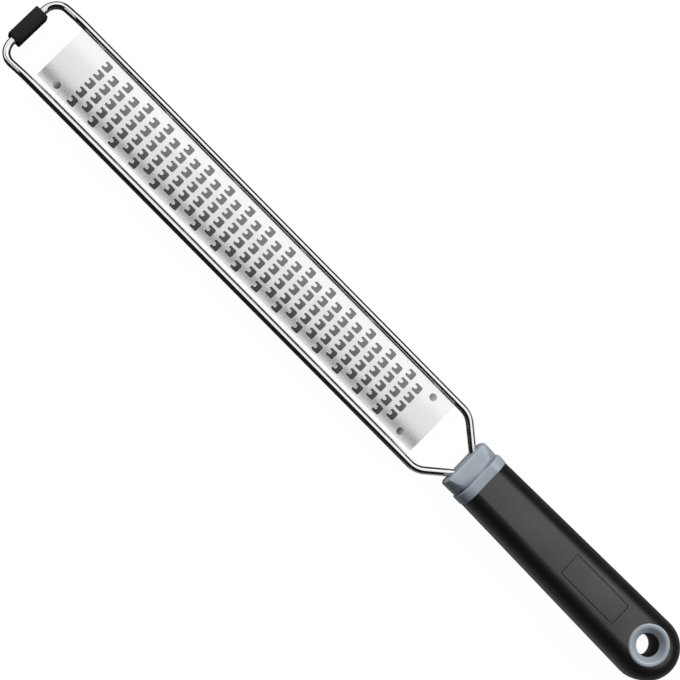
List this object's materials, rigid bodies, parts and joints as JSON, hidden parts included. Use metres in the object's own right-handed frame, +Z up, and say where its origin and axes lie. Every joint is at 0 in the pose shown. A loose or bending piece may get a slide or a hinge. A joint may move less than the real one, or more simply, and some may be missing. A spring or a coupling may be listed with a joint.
{
  "type": "rasp zester",
  "caption": "Hand-held rasp zester: a narrow arched blade plate with etched teeth in a bent wire frame, a tip foot, and a moulded handle with a collar and a hang hole.",
  "frame": {"origin": "middle of the tool's length and width, on the plane that the foot and the grip rest on", "axes": "+X from the tip to the handle, +Y across the blade, +Z up out of the toothed face"},
  "size_m": [0.34, 0.0318, 0.018],
  "materials": {
    "polished_steel": "polished stainless rod",
    "etched_steel": "fine satin, bright at the cut edges",
    "weld_steel": "dull weld bead",
    "silicone": "matt moulded silicone",
    "grey_plastic": "satin moulded plastic",
    "black_plastic": "moulded plastic",
    "soft_touch": "soft-touch skin"
  },
  "bodies": {
    "root": {"wire_frame": "polished_steel", "blade_plate": "etched_steel", "plate_welds": "weld_steel", "tip_foot": "silicone", "collar": "grey_plastic", "handle_core": "black_plastic", "soft_grip": "soft_touch", "hang_ring_top": "grey_plastic", "hang_ring_bottom": "grey_plastic"}
  },
  "joints": []
}
